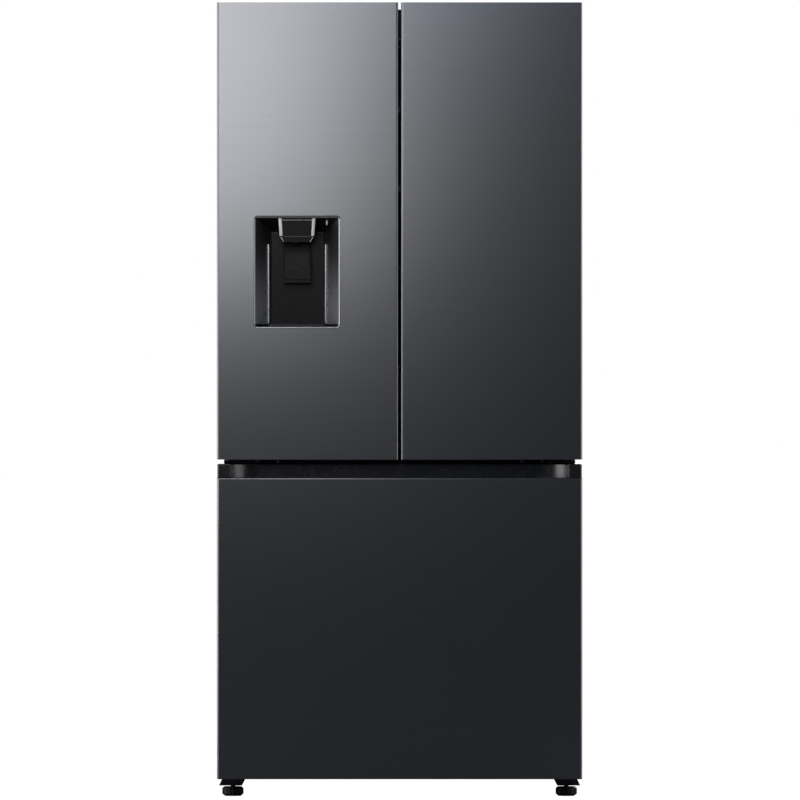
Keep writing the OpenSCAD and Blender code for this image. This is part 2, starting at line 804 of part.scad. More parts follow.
module dispenser_housing() {
  color("#1f2022") difference() {
    union() {
      difference() {
        block([-niche_x - niche_w / 2 - 3, front_y + frame_t, niche_z - niche_h / 2 - 3],
              [-niche_x + niche_w / 2 + 3, niche_y + 3, niche_z + niche_h / 2 + 3]);
        niche_space();
      }
      for (x = [-34.5, 31.5]) translate([-niche_x, 0, 0])
        block([x, lever_y - 5, lever_z - 5], [x + 3, niche_y + 1, lever_z + 5]);
    }
    rod([-niche_x - 40, lever_y, lever_z], 80, 2.5 + run, "x");
    rod([-niche_x, front_y + 46, niche_z], 140, 10 + run);
  }
}

// Spout that hangs from the niche's ceiling, with its feed stem
module dispenser_spout() {
  top = niche_h / 2 + 4;
  side = [[42.5, top], [39.5, 79], [36, 78.5], [29.5, 66]];
  face = concat(side, [for (i = [3:-1:0]) [-side[i].x, side[i].y]]);
  color("#232426") difference() {
    union() {
      intersection() {
        translate([-niche_x, front_y + 54, niche_z]) rotate([90, 0, 0]) linear_extrude(42) polygon(face);
        niche_space(0.1);
      }
      rod([-niche_x, front_y + 46, niche_z + 80], niche_h / 2 - 80 + 33, 10);
    }
    rod([-niche_x, front_y + 46, niche_z + 60], 90, 4);
  }
}

module dispenser_lever() {
  color("#26282a") translate([-niche_x, lever_y, lever_z]) {
    rod([-34, 0, 0], 68, 2.5, "x");
    rotate([-lever_lean, 0, 0]) {
      block([-31, -2, -94], [31, 2, 2]);
      block([-31, -2, -94], [31, 4, -90]);
    }
  }
}

module drip_tray() {
  floor_z = niche_z - niche_h / 2 + 0.2;
  color("#2a2b2d") translate([-niche_x, 0, 0]) difference() {
    round_block([-62, front_y + 8, floor_z], [62, front_y + 62, floor_z + 4.5], 6);
    for (x = [-52:8:52]) block([x - 2.5, front_y + 13, floor_z + 1.5], [x + 2.5, front_y + 57, floor_z + 5]);
  }
}

// Water tank in the left door, with a filling hole and an outlet towards the spout
module water_tank() {
  lo = [-bin_x - bin_w / 2, pan_y + 1, tank_z];
  hi = [-bin_x + bin_w / 2, tank_y, tank_top];
  color("#cfe3ea", 0.5) difference() {
    union() {
      round_block(lo, hi, 16);
      rod([-niche_x, pan_y - 18, tank_z + 14], 20, 11.9, "y");
      for (x = [-bin_x - 60, -bin_x + 50]) block([x, lid_y - 3, tank_top - 1], [x + 10, lid_y + 3, tank_top + 7]);
    }
    round_block(lo + [2.5, 2.5, 2.5], hi - [2.5, 2.5, 2.5], 13.5);
    round_block([-bin_x - 85, lid_y + 10, tank_top - 5], [-bin_x + 85, tank_y - 20, tank_top + 1], 10);
    rod([-niche_x, pan_y - 20, tank_z + 14], 30, 5, "y");
    rod([-bin_x - 70, lid_y, tank_top + 4], 140, 2 + run, "x");
  }
}

module tank_lid() {
  color("#3a6f8f") {
    difference() {
      round_block([-bin_x - 90, lid_y + 6, tank_top + 0.3], [-bin_x + 90, tank_y - 14, tank_top + 4], 8);
      round_block([-bin_x - 80, lid_y + 16, tank_top], [-bin_x + 80, tank_y - 24, tank_top + 2], 6);
    }
    block([-bin_x - 45, lid_y, tank_top + 2], [-bin_x + 45, lid_y + 8, tank_top + 6]);
    rod([-bin_x - 59, lid_y, tank_top + 4], 118, 2, "x");
  }
}

// Centre rail, drawn folded back beside the left door's rim: it turns about its pin to close the gap
module mullion() {
  color("#303134") translate([rail_x, rail_y, 0]) difference() {
    union() {
      round_block([-10.5, -6, rail_z], [8.5, 84, rail_top], 3);
      rod([0, 40, rail_top - 1], 11, 3.5);
    }
    for (z = ear_z) difference() {
      rod([0, 0, z - 1], ear_t + 2, ear_clear);
      rod([0, 0, z - 2], ear_t + 4, 3);
    }
    block([-6, 12, rail_z + 8], [4, 78, rail_top - 8]);
  }
}

// ---------- freezer drawer ----------

trough_y = front_y + 9;   // front wall of the finger trough
roll_r = 3.5;             // radius of the front sheet's rolled upper edge
roll_z = drawer_top - 4.5;

// Rolled upper edge of the drawer's front sheet
module front_roll() {
  intersection() {
    union() {
      block([-half_w, front_y, roll_z], [half_w, trough_y, drawer_top - roll_r]);
      block([-half_w, front_y + roll_r, roll_z], [half_w, trough_y, drawer_top]);
      rod([-half_w, front_y + roll_r, drawer_top - roll_r], 2 * half_w, roll_r, "x");
    }
    door_slab(-half_w, half_w, roll_z, drawer_top + 1, 0, return_y);
  }
}

module freezer_door_skin() {
  color("#2e3034") {
    difference() {
      door_sheet(-half_w, half_w, drawer_z, drawer_top);
      block([-half_w - 1, front_y - 1, roll_z], [half_w + 1, trough_y, drawer_top + 1]);
    }
    front_roll();
    block([-half_w + skin_r, front_y + skin_r, drawer_z], [half_w - skin_r, return_y, drawer_z + skin_t]);
    block([-half_w + skin_r, front_y + 0.5, drawer_z], [half_w - skin_r, front_y + skin_r, drawer_z + skin_t]);
  }
}

// Plan of the finger trough: a long straight back that sweeps forward at both ends
module trough_plan(y0) {
  sweep_r = 86;
  back = front_y + 39.5;
  end = 307;
  intersection() {
    union() {
      translate([-end, front_y - 50]) square([2 * end, back - front_y + 50]);
      for (x = [-end, end]) translate([x, back - sweep_r]) circle(sweep_r, $fn = 96);
    }
    translate([-half_w, y0]) square([2 * half_w, 100]);
  }
}

// Top cap of the drawer front, with the finger trough behind the front sheet's edge
module freezer_handle() {
  color("#26272a") difference() {
    union() {
      door_slab(-half_w, half_w, handle_z, drawer_top, skin_t);
      door_slab(-half_w, half_w, drawer_top, handle_top, 1);
    }
    translate([0, 0, drawer_top - 0.01]) linear_extrude(60) trough_plan(front_y - 1);
    translate([0, 0, drawer_top - 24]) linear_extrude(40) trough_plan(trough_y);
    block([-half_w - 1, front_y, roll_z], [half_w + 1, trough_y, drawer_top]);
  }
}

module freezer_inner_door() {
  color("white") difference() {
    union() {
      door_slab(-half_w, half_w, drawer_z + skin_t, handle_z, skin_t);
      round_block([-300, door_back_y - 1, 130], [300, door_back_y + 16, 640], 4);
    }
    block([-284, pan_y, 146], [284, door_back_y + 17, 624]);
  }
}

module freezer_gasket() { gasket(-gasket_out, gasket_out, drawer_gasket_z, drawer_gasket_top); }

// ---------- feet and rollers ----------

// Levelling foot: a grooved knob with chamfered rims on a screwed stud
module foot() {
  profile = [[0, 0], [18, 0], [foot_r, 5], [foot_r, 17], [20, 21], [0, 21]];
  color("#161718") {
    difference() {
      rotate_extrude($fn = 72) polygon(profile);
      for (a = [0:24:336]) rotate(a) rod([foot_r + 1, 0, -1], 30, 2.4);
    }
    rod([0, 0, 20], 23.5, stud_r);
  }
}

module foot_left() { translate([-foot_x, foot_y, 0]) foot(); }
module foot_right() { translate([foot_x, foot_y, 0]) foot(); }

module roller() {
  color("#2b2c2e") difference() {
    rod([foot_x - 8, roller_y, roller_r], 16, roller_r, "x");
    rod([foot_x - 9, roller_y, roller_r], 18, axle_r + run, "x");
  }
}

module roller_left() { mirror([1, 0, 0]) roller(); }
module roller_right() { roller(); }

outer_case();
back_panel();
base_pan();
insulation();
fridge_liner();
freezer_liner();
top_cover();
door_hinges();
leg_brackets();
screws();
compressor();
condenser();
fan_shroud();
drain_pan();
machine_cover();
power_inlet();
fridge_duct();
freezer_duct();
evaporator();
ceiling_light();
ceiling_console();
crisper_housing();
shelf_frames();
shelf_glass();
fixed_runners();
left_door_skin();
left_inner_door();
left_door_liner();
left_door_caps();
left_door_gasket();
left_door_bins();
dispenser_frame();
dispenser_housing();
dispenser_spout();
drip_tray();
water_tank();
dispenser_lever();
tank_lid();
mullion();
right_door_skin();
right_inner_door();
right_door_caps();
right_door_gasket();
right_door_bins();
freezer_door_skin();
freezer_inner_door();
freezer_handle();
freezer_gasket();
freezer_basket();
drawer_runners();
middle_runners();
upper_tray();
crisper_left();
crisper_right();
foot_left();
foot_right();
roller_left();
roller_right();
condenser_fan();
evaporator_fan();
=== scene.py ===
"""Looks of the French door refrigerator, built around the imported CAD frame."""

import math

import bmesh
import bpy
from mathutils import Matrix, Vector


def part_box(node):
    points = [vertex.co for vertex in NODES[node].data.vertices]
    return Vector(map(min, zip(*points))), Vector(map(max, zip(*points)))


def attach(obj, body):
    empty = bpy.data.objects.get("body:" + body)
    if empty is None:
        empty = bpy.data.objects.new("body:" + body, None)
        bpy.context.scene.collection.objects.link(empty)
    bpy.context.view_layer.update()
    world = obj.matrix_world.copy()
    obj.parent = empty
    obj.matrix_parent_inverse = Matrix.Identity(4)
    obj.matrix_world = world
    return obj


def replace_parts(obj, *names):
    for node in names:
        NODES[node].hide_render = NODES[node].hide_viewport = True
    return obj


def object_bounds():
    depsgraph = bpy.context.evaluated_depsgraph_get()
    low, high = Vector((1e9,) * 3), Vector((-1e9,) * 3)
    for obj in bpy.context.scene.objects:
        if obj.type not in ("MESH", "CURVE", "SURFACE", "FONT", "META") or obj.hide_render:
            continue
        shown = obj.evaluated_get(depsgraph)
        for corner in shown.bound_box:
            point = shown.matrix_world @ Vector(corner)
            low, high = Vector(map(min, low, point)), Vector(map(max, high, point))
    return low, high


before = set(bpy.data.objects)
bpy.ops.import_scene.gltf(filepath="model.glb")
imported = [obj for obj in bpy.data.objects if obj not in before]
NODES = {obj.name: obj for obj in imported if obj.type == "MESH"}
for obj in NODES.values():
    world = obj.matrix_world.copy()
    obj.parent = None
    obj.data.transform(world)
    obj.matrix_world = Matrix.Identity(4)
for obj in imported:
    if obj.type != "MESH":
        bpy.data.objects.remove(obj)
CAD_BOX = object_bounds()
LEVER_LEAN = 9  # degrees that the paddle's foot leans towards the user
SHARP = math.radians(35)  # edges that turn by more than this are rounded
CAMERA_DISTANCE = 20.0
CAMERA_PLACE = (0.0009, 0.8902)  # X and Z of the line of sight
VIEW_WIDTH = 1.788  # metres that the picture spans at the doors' front
SENSOR_WIDTH = 36


# ---------- material helpers ----------


class Look:
    """A Principled material with small helpers for its procedural nodes."""

    def __init__(self, name, color, rough, metal=0.0, **sockets):
        self.mat = bpy.data.materials.new(name)
        self.mat.use_nodes = True
        self.nodes = self.mat.node_tree.nodes
        self.links = self.mat.node_tree.links
        self.bsdf = self.nodes["Principled BSDF"]
        self.color = color
        self.rough = rough
        self.set("Base Color", (*color, 1.0))
        self.set("Roughness", rough)
        self.set("Metallic", metal)
        for key, value in sockets.items():
            self.set(key.replace("_", " "), value)
        self.coords = self.nodes.new("ShaderNodeTexCoord").outputs["Object"]
        self.normal = None

    def set(self, socket, value):
        self.bsdf.inputs[socket].default_value = value

    def noise(self, scale, stretch=(1, 1, 1), detail=4.0, rough=0.55):
        """Noise in metres, stretched per axis; returns its factor output."""
        place = self.nodes.new("ShaderNodeMapping")
        place.inputs["Scale"].default_value = stretch
        self.links.new(self.coords, place.inputs["Vector"])
        node = self.nodes.new("ShaderNodeTexNoise")
        node.inputs["Scale"].default_value = scale
        node.inputs["Detail"].default_value = detail
        node.inputs["Roughness"].default_value = rough
        self.links.new(place.outputs["Vector"], node.inputs["Vector"])
        return node.outputs["Fac"]

    def cells(self, scale, output="Color"):
        """Random cells, as many per metre as the scale says; returns the named output."""
        node = self.nodes.new("ShaderNodeTexVoronoi")
        node.inputs["Scale"].default_value = scale
        self.links.new(self.coords, node.inputs["Vector"])
        return node.outputs[output]

    def spread(self, factor, low, high):
        """The factor's middle range mapped to low..high."""
        node = self.nodes.new("ShaderNodeMapRange")
        node.inputs["From Min"].default_value = 0.3
        node.inputs["From Max"].default_value = 0.7
        node.inputs["To Min"].default_value = low
        node.inputs["To Max"].default_value = high
        self.links.new(factor, node.inputs["Value"])
        return node.outputs["Result"]

    def vary_color(self, factor, amount):
        """Base colour that runs from darker to lighter by the given share."""
        mix = self.nodes.new("ShaderNodeMix")
        mix.data_type = "RGBA"
        mix.inputs["A"].default_value = (*[c * (1 - amount) for c in self.color], 1)
        mix.inputs["B"].default_value = (*[min(1, c * (1 + amount)) for c in self.color], 1)
        self.links.new(self.spread(factor, 0, 1), mix.inputs["Factor"])
        self.links.new(mix.outputs["Result"], self.bsdf.inputs["Base Color"])
        return self

    def vary_rough(self, factor, amount):
        """Roughness that runs below and above its value by the given amount."""
        rough = self.spread(factor, self.rough - amount, self.rough + amount)
        self.links.new(rough, self.bsdf.inputs["Roughness"])
        return self

    def bump(self, height, depth, strength=1.0):
        """Adds relief of the given depth in metres."""
        node = self.nodes.new("ShaderNodeBump")
        node.inputs["Distance"].default_value = depth
        node.inputs["Strength"].default_value = strength
        self.links.new(height, node.inputs["Height"])
        if self.normal:
            self.links.new(self.normal, node.inputs["Normal"])
        self.normal = node.outputs["Normal"]
        self.links.new(self.normal, self.bsdf.inputs["Normal"])
        return self


def brushed_steel(name, color, rough):
    """Sheet brushed across: fine streaks along X, and a slow change over the panel."""
    look = Look(name, color, rough, 1.0)
    streaks = look.noise(1.0, (3, 3, 1500), 3, 0.6)
    look.vary_color(look.noise(1.0, (4, 4, 700), 3, 0.6), 0.03)
    look.vary_rough(streaks, 0.02)
    look.bump(streaks, 0.000004, 0.4)
    return look.mat


def painted_sheet(name, color, rough):
    """Powder-coated sheet with a fine orange peel."""
    look = Look(name, color, rough, 0.0, Specular_IOR_Level=0.5)
    look.vary_color(look.noise(6), 0.05)
    look.vary_rough(look.noise(35), 0.04)
    look.bump(look.noise(900, detail=2), 0.00012, 0.6)
    return look.mat


def galvanised_sheet(name, color, rough):
    """Zinc-coated sheet with its spangle."""
    look = Look(name, color, rough, 0.85)
    split = look.nodes.new("ShaderNodeSeparateColor")
    look.links.new(look.cells(90), split.inputs["Color"])
    look.vary_color(split.outputs["Red"], 0.12)
    look.vary_rough(look.noise(60), 0.08)
    look.bump(look.noise(240, detail=2), 0.00005, 0.5)
    return look.mat


def moulded_plastic(name, color, rough, grain=0.00006, scale=1400, specular=0.5):
    """Moulded plastic with a fine spark-eroded grain."""
    look = Look(name, color, rough, 0.0, Specular_IOR_Level=specular)
    look.vary_color(look.noise(9), 0.04)
    look.vary_rough(look.noise(50), 0.05)
    look.bump(look.noise(scale, detail=3), grain, 0.6)
    return look.mat


def painted_light_and_shade_plastic(name, foot, head, heights):
    """Satin plastic with painted light and shade in its base colour: light at its foot, darkening to painted
    shade at its head between two heights.
    """
    look = Look(name, foot, 0.28, 0.0, Specular_IOR_Level=1.0)
    split = look.nodes.new("ShaderNodeSeparateXYZ")
    look.links.new(look.coords, split.inputs["Vector"])
    rise = look.nodes.new("ShaderNodeMapRange")
    rise.interpolation_type = "SMOOTHSTEP"
    rise.inputs["From Min"].default_value, rise.inputs["From Max"].default_value = heights
    look.links.new(split.outputs["Z"], rise.inputs["Value"])
    # painted light and shade: the base colour is light at the foot and dark under the recess's brow
    mix = look.nodes.new("ShaderNodeMix")
    mix.data_type = "RGBA"
    mix.inputs["A"].default_value = (*foot, 1)
    mix.inputs["B"].default_value = (*head, 1)
    look.links.new(rise.outputs["Result"], mix.inputs["Factor"])
    look.links.new(mix.outputs["Result"], look.bsdf.inputs["Base Color"])
    look.vary_rough(look.noise(30), 0.02)
    look.bump(look.noise(1400, detail=3), 0.00002, 0.5)
    return look.mat


def gloss_plastic(name, color, rough, coat=0.0, specular=0.5):
    """Smooth plastic or enamel, a little uneven, with a clear coat if asked."""
    look = Look(name, color, rough, 0.0, Coat_Weight=coat, Coat_Roughness=0.08, Specular_IOR_Level=specular)
    look.vary_color(look.noise(5), 0.02)
    look.vary_rough(look.noise(22), 0.03)
    look.bump(look.noise(40, detail=2), 0.0002, 0.12)
    return look.mat


def clear_plastic(name, color, rough=0.06):
    """See-through plastic or glass, slightly wavy."""
    look = Look(name, color, rough, 0.0, Transmission_Weight=0.88, IOR=1.5)
    look.vary_color(look.noise(12), 0.02)
    look.vary_rough(look.noise(70), 0.02)
    look.bump(look.noise(25, detail=2), 0.0003, 0.15)
    return look.mat


def rubber(name, color, rough):
    """Dull rubber with a fine grain."""
    look = Look(name, color, rough, 0.0, Specular_IOR_Level=0.3)
    look.vary_color(look.noise(40), 0.08)
    look.vary_rough(look.noise(120), 0.06)
    look.bump(look.noise(700, detail=3), 0.0001, 0.5)
    return look.mat


def plated_metal(name, color, rough):
    """Plated or plain metal with small dents and spots."""
    look = Look(name, color, rough, 1.0)
    look.vary_color(look.noise(30), 0.04)
    look.vary_rough(look.noise(90), 0.05)
    look.bump(look.noise(500, detail=2), 0.00003, 0.4)
    return look.mat


def foam(name, color):
    """Open-celled foam."""
    look = Look(name, color, 0.9)
    look.vary_color(look.noise(20), 0.1)
    look.bump(look.cells(350, output="Distance"), 0.0006, 0.8)
    return look.mat


def lamp(name, color, strength):
    """Ribbed cover that gives off its own light."""
    look = Look(name, color, 0.4)
    look.vary_color(look.noise(15), 0.02)
    look.bump(look.noise(400, (1, 0.05, 1)), 0.0002, 0.5)
    look.set("Emission Color", (*color, 1.0))
    look.set("Emission Strength", strength)
    return look.mat


MATERIALS = {
    "black_stainless": brushed_steel("black_stainless", (0.27, 0.274, 0.288), 0.335),
    "case_paint": painted_sheet("case_paint", (0.060, 0.062, 0.067), 0.42),
    "black_paint": painted_sheet("black_paint", (0.012, 0.012, 0.013), 0.45),
    "galvanised": galvanised_sheet("galvanised", (0.42, 0.43, 0.44), 0.42),
    "zinc": plated_metal("zinc", (0.62, 0.62, 0.60), 0.34),
    "satin_metal": plated_metal("satin_metal", (0.66, 0.67, 0.69), 0.28),
    "coil_steel": plated_metal("coil_steel", (0.12, 0.12, 0.13), 0.45),
    "coil_aluminium": plated_metal("coil_aluminium", (0.80, 0.81, 0.83), 0.36),
    "copper": plated_metal("copper", (0.72, 0.34, 0.20), 0.32),
    "iron_enamel": gloss_plastic("iron_enamel", (0.010, 0.010, 0.011), 0.28),
    "dark_plastic": moulded_plastic("dark_plastic", (0.022, 0.023, 0.025), 0.42),
    "handle_plastic": moulded_plastic("handle_plastic", (0.020, 0.0205, 0.022), 0.26, 0.000006, specular=1.0),
    "gloss_black": gloss_plastic("gloss_black", (0.0085, 0.0088, 0.0095), 0.30, 0.0, 0.12),
    "niche_plastic": moulded_plastic("niche_plastic", (0.0200, 0.0204, 0.0222), 0.34, 0.00002, specular=0.16),
    "lever_plastic": moulded_plastic("lever_plastic", (0.0080, 0.0082, 0.0090), 0.40, 0.00002, specular=0.12),
    "grey_plastic": moulded_plastic("grey_plastic", (0.56, 0.58, 0.60), 0.38, 0.00003),
    "white_plastic": moulded_plastic("white_plastic", (0.80, 0.81, 0.82), 0.36, 0.00003),
    "white_liner": gloss_plastic("white_liner", (0.82, 0.83, 0.84), 0.24, 0.2),
    "clear_plastic": clear_plastic("clear_plastic", (0.90, 0.96, 0.98)),
    "shelf_glass": clear_plastic("shelf_glass", (0.86, 0.97, 0.95), 0.02),
    "seal": rubber("seal", (0.30, 0.31, 0.32), 0.6),
    "tyre_plastic": rubber("tyre_plastic", (0.012, 0.012, 0.013), 0.45),
    "blue_plastic": gloss_plastic("blue_plastic", (0.05, 0.17, 0.29), 0.25),
    "foam": foam("foam", (0.80, 0.72, 0.42)),
    "lamp": lamp("lamp", (0.90, 0.91, 0.92), 0.04),
    "lens": lamp("lens", (0.75, 0.78, 0.80), 0.25),
    "trim_grey": moulded_plastic("trim_grey", (0.085, 0.087, 0.091), 0.30, 0.00002),
    "trim_metal": plated_metal("trim_metal", (0.40, 0.405, 0.41), 0.30),
    "frame_metal": plated_metal("frame_metal", (0.36, 0.365, 0.38), 0.22),
    # recess walls: painted light low down, painted shade at the top under the brow
    "cheek": painted_light_and_shade_plastic("cheek", (0.200, 0.203, 0.212), (0.030, 0.031, 0.033), (1.080, 1.240)),
    # metal of the corner strips, placed as a painted highlight
    "corner_highlight_metal": plated_metal("corner_highlight_metal", (0.55, 0.555, 0.56), 0.30),
    "soft_rubber": rubber("soft_rubber", (0.010, 0.0105, 0.011), 0.55),
    "bin_edge": clear_plastic("bin_edge", (0.80, 0.88, 0.92), 0.10),
}

NODE_LOOKS = {
    "outer_case": "case_paint", "back_panel": "galvanised", "base_pan": "galvanised", "insulation": "foam",
    "fridge_liner": "white_liner", "freezer_liner": "white_liner",
    "top_cover": "dark_plastic", "door_hinges": "black_paint", "leg_brackets": "black_paint",
    "screws": "zinc", "compressor": "iron_enamel", "condenser": "coil_steel", "fan_shroud": "grey_plastic",
    "drain_pan": "dark_plastic", "machine_cover": "galvanised", "power_inlet": "dark_plastic",
    "fridge_duct": "grey_plastic", "freezer_duct": "white_plastic", "evaporator": "coil_aluminium",
    "ceiling_light": "lamp", "ceiling_console": "grey_plastic", "crisper_housing": "white_plastic",
    "shelf_frames": "white_plastic", "shelf_glass": "shelf_glass", "fixed_runners": "zinc",
    "left_door_skin": "black_stainless", "left_inner_door": "white_liner", "left_door_liner": "white_liner",
    "left_door_caps": "dark_plastic", "left_door_gasket": "seal", "left_door_bins": "clear_plastic",
    "dispenser_frame": "satin_metal",
    "dispenser_housing": "niche_plastic", "dispenser_spout": "gloss_black", "drip_tray": "dark_plastic",
    "water_tank": "clear_plastic", "dispenser_lever": "lever_plastic", "tank_lid": "blue_plastic",
    "mullion": "dark_plastic",
    "right_door_skin": "black_stainless", "right_inner_door": "white_liner",
    "right_door_caps": "dark_plastic", "right_door_gasket": "seal", "right_door_bins": "clear_plastic",
    "freezer_door_skin": "black_stainless", "freezer_inner_door": "white_liner",
    "freezer_handle": "handle_plastic", "freezer_gasket": "seal", "freezer_basket": "white_plastic",
    "drawer_runners": "zinc", "middle_runners": "zinc", "upper_tray": "white_plastic",
    "crisper_left": "clear_plastic", "crisper_right": "clear_plastic",
    "foot_left": "tyre_plastic", "foot_right": "tyre_plastic", "roller_left": "tyre_plastic",
    "roller_right": "tyre_plastic", "condenser_fan": "dark_plastic", "evaporator_fan": "white_plastic",
}

# Edge radius of each softened CAD node, in metres
NODE_EDGES = {
    "freezer_door_skin": 0.0006,
    "freezer_handle": 0.0015, "top_cover": 0.002, "door_hinges": 0.0008,
    "left_door_caps": 0.0012, "right_door_caps": 0.0012, "left_inner_door": 0.001,
    "left_door_liner": 0.003, "right_inner_door": 0.003, "freezer_inner_door": 0.003,
    "dispenser_frame": 0.0008, "dispenser_housing": 0.0008,
    "dispenser_spout": 0.0012, "dispenser_lever": 0.0012, "leg_brackets": 0.0006,
    "mullion": 0.0015, "ceiling_light": 0.002, "shelf_frames": 0.0015,
    "fridge_liner": 0.001, "freezer_liner": 0.001, "fridge_duct": 0.0015, "freezer_duct": 0.0008,
    "freezer_basket": 0.0008, "upper_tray": 0.0012, "crisper_left": 0.0008, "crisper_right": 0.0008,
    "left_door_bins": 0.001, "right_door_bins": 0.001, "water_tank": 0.001, "tank_lid": 0.001,
    "power_inlet": 0.0008, "drain_pan": 0.001, "crisper_housing": 0.001,
    "foot_left": 0.0008, "foot_right": 0.0008, "roller_left": 0.0015, "roller_right": 0.0015,
    "compressor": 0.0015, "left_door_gasket": 0.0006, "right_door_gasket": 0.0006, "freezer_gasket": 0.0006,
}


def soften(obj, width):
    """Rounds a CAD node's sharp edges with modifiers, and leaves its mesh as it is."""
    weld = obj.modifiers.new("weld", "WELD")
    weld.merge_threshold = 0.00001
    flat = obj.modifiers.new("flat", "DECIMATE")
    flat.decimate_type = "DISSOLVE"
    flat.angle_limit = math.radians(0.5)
    bevel = obj.modifiers.new("bevel", "BEVEL")
    bevel.width = width
    bevel.segments = 2
    bevel.limit_method = "ANGLE"
    bevel.angle_limit = SHARP
    bevel.use_clamp_overlap = True
    obj.data.shade_smooth()
    shade = obj.modifiers.new("shade", "WEIGHTED_NORMAL")
    shade.mode = "FACE_AREA_WITH_ANGLE"
    shade.weight = 50


def dress_cad():
    """Gives each CAD node its material, and softens those that have an edge radius."""
    for name, look in NODE_LOOKS.items():
        obj = NODES[name]
        obj.data.materials.clear()
        obj.data.materials.append(MATERIALS[look])
        if name in NODE_EDGES:
            soften(obj, NODE_EDGES[name])


# ---------- mesh helpers ----------


def add_piece(name, bm, look, body, edge=0.0):
    """Turns a bmesh into a piece that rides on a body, with its sharp edges rounded if asked."""
    mesh = bpy.data.meshes.new(name)
    bmesh.ops.recalc_face_normals(bm, faces=bm.faces)
    bm.to_mesh(mesh)
    bm.free()
    mesh.materials.append(MATERIALS[look])
    mesh.shade_smooth()
    obj = bpy.data.objects.new(name, mesh)
    bpy.context.scene.collection.objects.link(obj)
    if edge:
        bevel = obj.modifiers.new("bevel", "BEVEL")
        bevel.width = edge
        bevel.segments = 2
        bevel.limit_method = "ANGLE"
        bevel.angle_limit = SHARP
    shade = obj.modifiers.new("shade", "WEIGHTED_NORMAL")
    shade.mode = "FACE_AREA_WITH_ANGLE"
    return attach(obj, body)


def soft_box(bm, lo, hi, radius, segments=3):
    """Adds a box with round edges between two corners."""
    lo, hi = Vector(lo), Vector(hi)
    verts = bmesh.ops.create_cube(bm, size=1)["verts"]
    for vert in verts:
        vert.co = Vector([lo[i] + (vert.co[i] + 0.5) * (hi[i] - lo[i]) for i in range(3)])
    edges = list({edge for vert in verts for edge in vert.link_edges})
    bmesh.ops.bevel(bm, geom=edges, offset=radius, segments=segments, affect="EDGES", profile=0.5)


def prism(bm, outline, start, end, axis=1):
    """Adds a prism: an outline in the two other axes, run along one axis from start to end."""
    others = [i for i in range(3) if i != axis]
    rings = []
    for depth in (start, end):
        ring = []
        for a, b in outline:
            co = [0.0, 0.0, 0.0]
            co[axis], co[others[0]], co[others[1]] = depth, a, b
            ring.append(bm.verts.new(co))
        rings.append(ring)
    count = len(outline)
    bm.faces.new(rings[0])
    bm.faces.new(rings[1][::-1])
    for i in range(count):
        j = (i + 1) % count
        bm.faces.new((rings[0][j], rings[0][i], rings[1][i], rings[1][j]))


def lathe(bm, profile, place, axis="z", steps=32):
    """Adds a turned solid: (radius, height) points spun about an axis through a place."""
    place = Vector(place)

    def point(radius, height, turn):
        a, b = radius * math.cos(turn), radius * math.sin(turn)
        return place + Vector({"x": (height, a, b), "y": (a, height, b), "z": (a, b, height)}[axis])

    rings = []
    for radius, height in profile:
        if radius < 1e-6:
            rings.append([bm.verts.new(point(0, height, 0))])
        else:
            turns = [2 * math.pi * k / steps for k in range(steps)]
            rings.append([bm.verts.new(point(radius, height, turn)) for turn in turns])
    for low, high in zip(rings, rings[1:]):
        for k in range(steps):
            n = (k + 1) % steps
            corners = [low[k % len(low)], low[n % len(low)], high[n % len(high)], high[k % len(high)]]
            distinct = list(dict.fromkeys(corners))
            if len(distinct) > 2:
                bm.faces.new(distinct)
    for ring in (rings[0], rings[-1]):
        if len(ring) > 2:
            bm.faces.new(ring)


def fillet(points, radius, steps=5):
    """The path with each inner corner turned into a curve."""
    points = [Vector(p) for p in points]
    out = [points[0]]
    for before, corner, after in zip(points, points[1:], points[2:]):
        reach = min(radius, (before - corner).length / 2, (after - corner).length / 2)
        start = corner + (before - corner).normalized() * reach
        end = corner + (after - corner).normalized() * reach
        for i in range(steps + 1):
            t = i / steps
            out.append(start * (1 - t) ** 2 + corner * 2 * t * (1 - t) + end * t ** 2)
    out.append(points[-1])
    return out


def tube(name, paths, radius, look, body):
    """Round wire or pipe along one or more paths."""
    data = bpy.data.curves.new(name, "CURVE")
    data.dimensions = "3D"
    data.bevel_depth = radius
    data.bevel_resolution = 3
    data.use_fill_caps = True
    for path in paths:
        spline = data.splines.new("POLY")
        spline.points.add(len(path) - 1)
        for point, co in zip(spline.points, path):
            point.co = (*co, 1)
        spline.use_smooth = True
    data.materials.append(MATERIALS[look])
    obj = bpy.data.objects.new(name, data)
    bpy.context.scene.collection.objects.link(obj)
    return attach(obj, body)


def islands(obj):
    """The boxes of a node's separate solids, as (low, high) corners."""
    bm = bmesh.new()
    bm.from_mesh(obj.data)
    bmesh.ops.remove_doubles(bm, verts=bm.verts, dist=0.00001)
    left = set(bm.verts)
    boxes = []
    while left:
        stack, found = [left.pop()], []
        while stack:
            vert = stack.pop()
            found.append(vert.co.copy())
            for edge in vert.link_edges:
                other = edge.other_vert(vert)
                if other in left:
                    left.remove(other)
                    stack.append(other)
        boxes.append((Vector([min(co[i] for co in found) for i in range(3)]),
                      Vector([max(co[i] for co in found) for i in range(3)])))
    bm.free()
    return sorted(boxes, key=lambda box: tuple(round(v, 4) for v in (*box[0], *box[1])))


# ---------- dispenser ----------


def round_rect(center, half, radius, steps=6):
    """Points of a rectangle with round corners."""
    out = []
    for turn, (sx, sz) in enumerate(((1, 1), (-1, 1), (-1, -1), (1, -1))):
        for k in range(steps + 1):
            angle = math.pi / 2 * (turn + k / steps)
            out.append((center[0] + sx * (half[0] - radius) + radius * math.cos(angle),
                        center[1] + sz * (half[1] - radius) + radius * math.sin(angle)))
    return out


